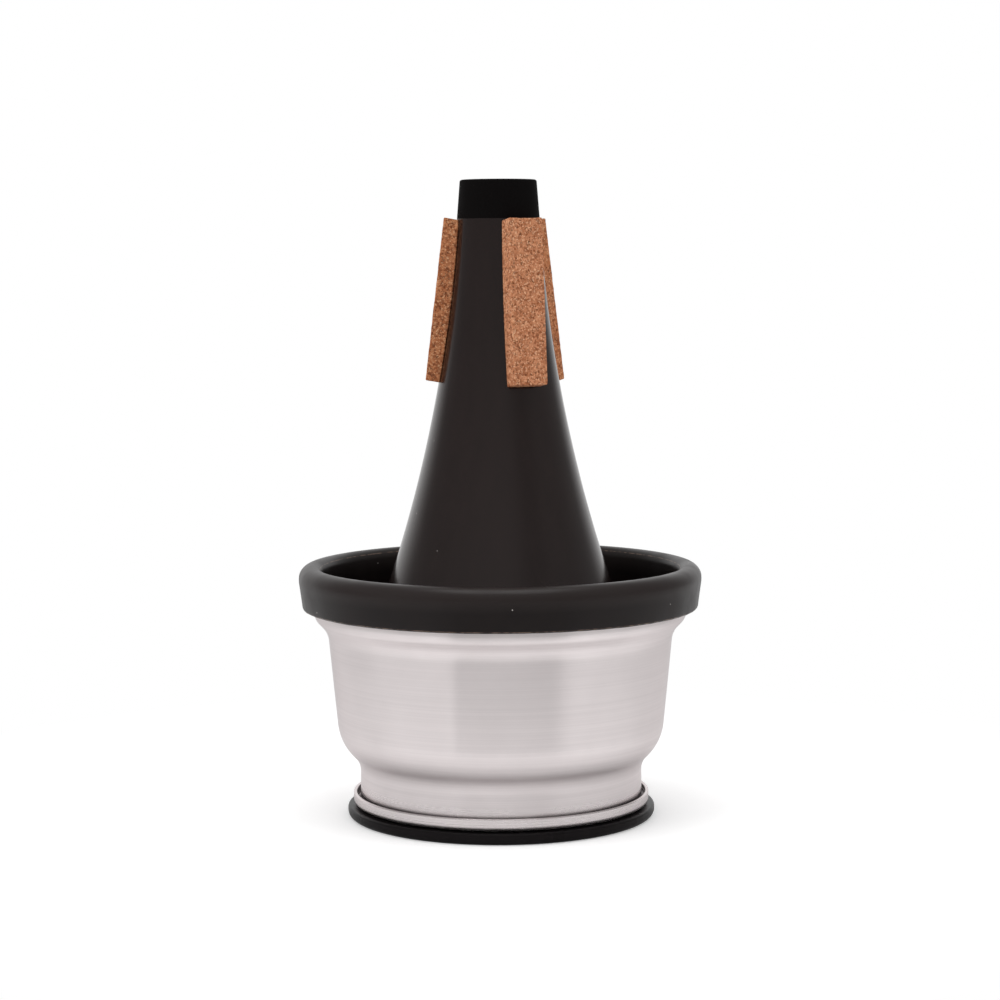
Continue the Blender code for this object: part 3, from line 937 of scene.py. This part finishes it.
@dataclass
class Studio:
    """White table in a dim room with a white wall behind the mute, a card at each side, a soft box above,
    and the camera."""

    camera_place: tuple = (0.07 * MM, -690.0 * MM, 149.6 * MM)
    camera_pitch: float = math.radians(84.65)
    camera_roll: float = math.radians(-0.286)
    lens: float = 92.99
    even_light: float = 0.59        # on matt faces, from all round
    room_level: float = 0.26        # what gloss shows of the room at eye level
    room_rise: float = 0.2          # how much brighter the room is overhead
    front_rise: float = 0.5         # the same, on the camera's side
    wall_gain: float = 0.68         # what the white wall behind the mute adds
    wall_turn: float = math.radians(6.0)
    floor_tone: str = "#f4f4f4"
    floor_lift: float = 0.26
    gloss_lift: float = 0.4         # share of that lift in what gloss shows of the table
    floor_in_gloss: float = 0.84    # what gloss shows of the table away from the mute
    floor_radius: float = 0.9
    shade: float = 0.39             # taken by the camera's own shade from what gloss shows of the table
    side_shade: float = 0.06        # the same, of the table beside and behind the mute
    foot_shade: float = 0.28        # the same, of the table just past the flange
    shade_from: float = math.radians(-31.5)     # from the front to the right
    shade_to: float = math.radians(42.0)
    shade_point: float = 22.0 * MM  # where its two edges would meet, in front of the axis
    stand: tuple = (math.radians(40.0), math.radians(30.0), 0.1)    # a dark stand: place, half width, loss

    def camera(self) -> None:
        """Camera at the photograph's place, looking a little down at the mute."""
        data = bpy.data.cameras.new("camera")
        data.lens = self.lens
        camera = bpy.data.objects.new("camera", data)
        camera.matrix_world = (Matrix.Translation(self.camera_place)
                               @ Matrix.Rotation(self.camera_pitch, 4, "X")
                               @ Matrix.Rotation(self.camera_roll, 4, "Z"))
        bpy.context.scene.collection.objects.link(camera)
        bpy.context.scene.camera = camera

    def softbox(self, name: str, place: tuple, size: tuple, radiance: float, in_gloss: bool) -> None:
        """Area lamp that faces the middle of the mute.

        Args:
            name: The lamp's name.
            place: Its centre.
            size: Its width and height.
            radiance: Its brightness; its power is four times its area times this.
            in_gloss: Whether gloss mirrors it.
        """
        data = bpy.data.lights.new(name, "AREA")
        data.shape = "RECTANGLE"
        data.size, data.size_y = size
        data.energy = 4.0 * size[0] * size[1] * radiance
        lamp = bpy.data.objects.new(name, data)
        target = Vector((0.0, 0.0, 0.08))
        lamp.location = place
        lamp.rotation_euler = (target - Vector(place)).to_track_quat("-Z", "Y").to_euler()
        lamp.visible_camera = False
        lamp.visible_glossy = in_gloss
        bpy.context.scene.collection.objects.link(lamp)

    def bearing(self, tree: bpy.types.NodeTree, right: bpy.types.NodeSocket,
                back: bpy.types.NodeSocket) -> bpy.types.NodeSocket:
        """Angle of a direction from straight ahead (-Y) to the right: the arc tangent of right over minus
        back."""
        ahead = add_node(tree, "Math", {0: back, 1: -1.0}, operation="MULTIPLY").outputs[0]
        return add_node(tree, "Math", {0: right, 1: ahead}, operation="ARCTAN2").outputs[0]

    def room(self) -> None:
        """World: white to the camera, even light for matt faces, and for gloss a dim room that is brighter
        overhead and has a white wall behind the mute."""
        world = bpy.data.worlds.new("room")
        world.use_nodes = True
        tree = world.node_tree
        tree.nodes.clear()
        path = add_node(tree, "LightPath").outputs
        way = add_node(tree, "SeparateXYZ", {0: add_node(tree, "TexCoord").outputs["Generated"]}).outputs
        front = spread(tree, way[1], self.front_rise, self.room_rise, -1.0, 0.0)
        up = spread(tree, way[2], 0.0, 1.0, 0.0, 1.0)
        room = add_node(tree, "Math", {0: up, 1: front, 2: self.room_level},
                        operation="MULTIPLY_ADD").outputs[0]
        # the wall stands a little to the left of straight behind the mute
        turned_way = add_node(tree, "Math", {0: way[0], 1: -math.sin(self.wall_turn), 2: way[1]},
                              operation="MULTIPLY_ADD").outputs[0]
        wall = add_node(tree, "MapRange", {"Value": turned_way, "From Min": 0.4, "From Max": 0.95,
                                           "To Max": self.wall_gain}, interpolation_type="SMOOTHSTEP")
        gloss = add_node(tree, "Math", {0: room, 1: wall.outputs[0]}, operation="ADD").outputs[0]
        place, half, loss = self.stand
        off = add_node(tree, "Math", {0: self.bearing(tree, way[0], way[1]), 1: place},
                       operation="SUBTRACT").outputs[0]
        off = add_node(tree, "Math", {0: off}, operation="ABSOLUTE").outputs[0]
        stand = add_node(tree, "MapRange", {"Value": off, "From Max": half, "To Min": loss, "To Max": 0.0},
                         interpolation_type="SMOOTHSTEP").outputs[0]
        gloss = add_node(tree, "Math", {0: gloss, 1: stand}, operation="SUBTRACT").outputs[0]
        seen = add_node(tree, "Mix", {0: path["Is Glossy Ray"], 2: self.even_light, 3: gloss}).outputs[0]
        direct = add_node(tree, "Math", {0: path["Is Camera Ray"], 1: path["Is Transmission Ray"]},
                          operation="MAXIMUM").outputs[0]
        strength = add_node(tree, "Mix", {0: direct, 2: seen, 3: 1.0}).outputs[0]
        sky = add_node(tree, "Background", {"Color": (1.0, 1.0, 1.0, 1.0), "Strength": strength})
        add_node(tree, "OutputWorld", {"Surface": sky.outputs[0]})
        bpy.context.scene.world = world

    def floor(self) -> None:
        """White table that keeps the mute's shadow and fades to plain white away from it.

        Gloss sees the same white, less the camera's shade between two directions from the mute.
        """
        angle = np.linspace(0.0, math.tau, 64, endpoint=False)
        points = self.floor_radius * np.column_stack((np.cos(angle), np.sin(angle), np.zeros(64)))
        disc = mesh_object("floor", points, [np.arange(64)[None]])
        made = bpy.data.materials.new("White floor")
        made.use_nodes = True
        tree = made.node_tree
        tree.nodes.clear()
        path = add_node(tree, "LightPath").outputs
        seen = add_node(tree, "Math", {0: path["Is Camera Ray"], 1: path["Is Glossy Ray"]},
                        operation="MAXIMUM").outputs[0]
        seen = add_node(tree, "Math", {0: seen, 1: path["Is Transmission Ray"]}, operation="MAXIMUM").outputs[0]
        place = add_node(tree, "TexCoord").outputs["Object"]
        paint = add_node(tree, "BsdfDiffuse", {"Color": linear(self.floor_tone)})
        lift = add_node(tree, "Mix", {0: path["Is Glossy Ray"], 2: seen, 3: self.gloss_lift}).outputs[0]
        lift = add_node(tree, "Math", {0: lift, 1: self.floor_lift}, operation="MULTIPLY").outputs[0]
        glow = add_node(tree, "Emission", {"Strength": lift})
        near = add_node(tree, "AddShader", {0: paint.outputs[0], 1: glow.outputs[0]})
        away = add_node(tree, "VectorMath", {0: place}, operation="LENGTH").outputs["Value"]
        far = add_node(tree, "Math", {0: spread(tree, away, 0.0, 1.0, 0.07, 0.2), 1: seen},
                       operation="MULTIPLY").outputs[0]
        level = add_node(tree, "Mix", {0: path["Is Glossy Ray"], 2: 1.0, 3: self.floor_in_gloss}).outputs[0]
        white = add_node(tree, "Emission", {"Strength": level})
        table = add_node(tree, "MixShader", {0: far, 1: near.outputs[0], 2: white.outputs[0]})
        split = add_node(tree, "SeparateXYZ", {0: place}).outputs
        back = add_node(tree, "Math", {0: split[1], 1: self.shade_point}, operation="ADD").outputs[0]
        side = self.bearing(tree, split[0], back)
        left = spread(tree, side, 0.0, self.shade, self.shade_from - 0.03, self.shade_from + 0.03)
        right = spread(tree, side, 1.0, 0.0, self.shade_to - 0.12, self.shade_to + 0.12)
        dim = add_node(tree, "Math", {0: left, 1: right}, operation="MULTIPLY").outputs[0]
        dim = add_node(tree, "Math", {0: dim, 1: spread(tree, away, 0.0, 1.0, 0.075, 0.155)},
                       operation="MULTIPLY").outputs[0]
        dim = add_node(tree, "Math", {0: dim, 1: spread(tree, away, 1.0, 0.15, 0.2, 0.42)},
                       operation="MULTIPLY").outputs[0]
        # beside the mute the table grows darker from 15 degrees on near its foot, from 75 further out
        aside = add_node(tree, "Math", {0: self.bearing(tree, split[0], split[1])}, operation="ABSOLUTE")
        aside = add_node(tree, "Math", {0: spread(tree, away, 0.0, math.radians(-60.0), 0.06, 0.12),
                                        1: aside.outputs[0]}, operation="ADD").outputs[0]
        aside = spread(tree, aside, 0.0, self.side_shade, math.radians(15.0), math.radians(42.0))
        dim = add_node(tree, "Math", {0: dim, 1: aside}, operation="ADD").outputs[0]
        dim = add_node(tree, "Math", {0: dim, 1: spread(tree, away, self.foot_shade, 0.0, 0.042, 0.066)},
                       operation="ADD").outputs[0]
        dim = add_node(tree, "Math", {0: dim, 1: path["Is Glossy Ray"]}, operation="MULTIPLY").outputs[0]
        shaded = add_node(tree, "MixShader", {0: dim, 1: table.outputs[0]})
        add_node(tree, "OutputMaterial", {"Surface": shaded.outputs[0]})
        disc.data.materials.append(made)

    def build(self) -> None:
        """Put the camera, lights and floor in place."""
        bpy.context.scene.view_settings.view_transform = "Standard"
        self.camera()
        self.room()
        self.floor()
        self.softbox("card_left", (-1.05, -0.45, 0.45), (1.0, 1.0), 1.75, False)
        self.softbox("card_right", (1.05, -0.35, 0.45), (1.0, 1.0), 1.1, False)
        self.softbox("box_above", (0.0, -0.1, 1.5), (1.0, 1.0), 1.9, True)


def main() -> None:
    """Build the cone, the cup and the studio."""
    logging.basicConfig(level=logging.INFO, format="%(name)s: %(message)s")
    ConeAssembly().build()
    CupAssembly().build()
    Studio().build()


if __name__ == "__main__":
    main()
